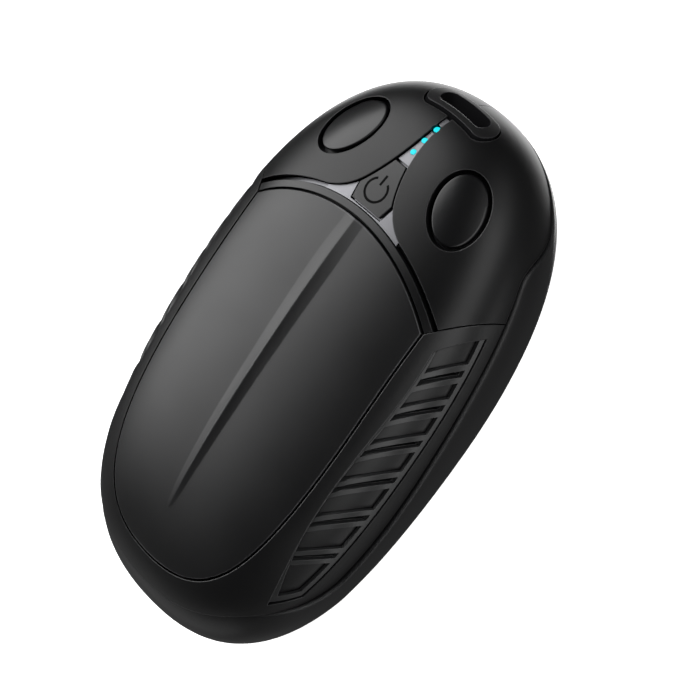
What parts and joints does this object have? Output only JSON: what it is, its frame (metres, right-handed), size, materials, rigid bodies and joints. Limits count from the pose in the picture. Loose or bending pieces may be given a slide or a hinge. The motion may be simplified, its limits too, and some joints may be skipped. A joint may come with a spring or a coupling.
{
  "type": "rechargeable hand warmer",
  "caption": "Pebble-shaped rechargeable hand warmer with a beetle-like head, ridged heat plate, vented flanks, bumper band, press button, indicator lamps and charging port.",
  "frame": {"origin": "on the flat of the rear heat plate, under the middle of the outline", "axes": "+X across the width, +Y towards the head with the port, +Z out of the front plate"},
  "size_m": [0.0594, 0.1031, 0.0345],
  "materials": {
    "black_shell": "satin",
    "band_black": "satin",
    "dark_plate": "anodised, fine matt",
    "pad_black": "satin",
    "trim_grey": "satin",
    "inlay_silver": "satin metallic",
    "lamp_cyan": "clear tinted",
    "steel": "bright",
    "insulator": "matt",
    "board_green": "solder mask",
    "chip_black": "matt",
    "coil_iron": "matt",
    "cell_foil": "foil",
    "cradle_white": "matt",
    "film_amber": "film",
    "foam_grey": "soft",
    "lead_red": "insulated"
  },
  "bodies": {
    "case": {"front_shell": "black_shell", "rear_shell": "black_shell", "waist_band": "band_black", "front_grilles": "trim_grey", "rear_grilles": "trim_grey", "front_heat_plate": "dark_plate", "rear_heat_plate": "dark_plate", "front_heater_film": "film_amber", "rear_heater_film": "film_amber", "arch_trim": "trim_grey", "head_pad_right": "pad_black", "head_pad_left": "pad_black", "eye_disc_right": "pad_black", "eye_disc_left": "pad_black", "light_guide": "inlay_silver", "guide_tip": "inlay_silver", "lamp_lenses": "lamp_cyan", "lamp_leds": "cradle_white", "lamp_strip": "film_amber", "switch_body": "chip_black", "port_bezel": "trim_grey", "socket_shell": "steel", "socket_tongue": "insulator", "main_board": "board_green", "controller_chip": "chip_black", "power_coil": "coil_iron", "battery_cell_upper": "cell_foil", "battery_cell_lower": "cell_foil", "cell_cradle": "cradle_white", "front_foam_pad": "foam_grey", "rear_foam_pad": "foam_grey", "temperature_sensor": "chip_black", "battery_leads": "lead_red", "front_heater_leads": "lead_red", "rear_heater_leads": "lead_red", "case_screws": "steel"},
    "button": {"power_button": "trim_grey", "switch_plunger": "insulator"}
  },
  "joints": [
    {"name": "button_press", "type": "slide", "parent": "case", "child": "button", "axis": [0, 0, -1], "range_m": [0, 0.00035], "stiffness_N_per_m": 1000}
  ]
}
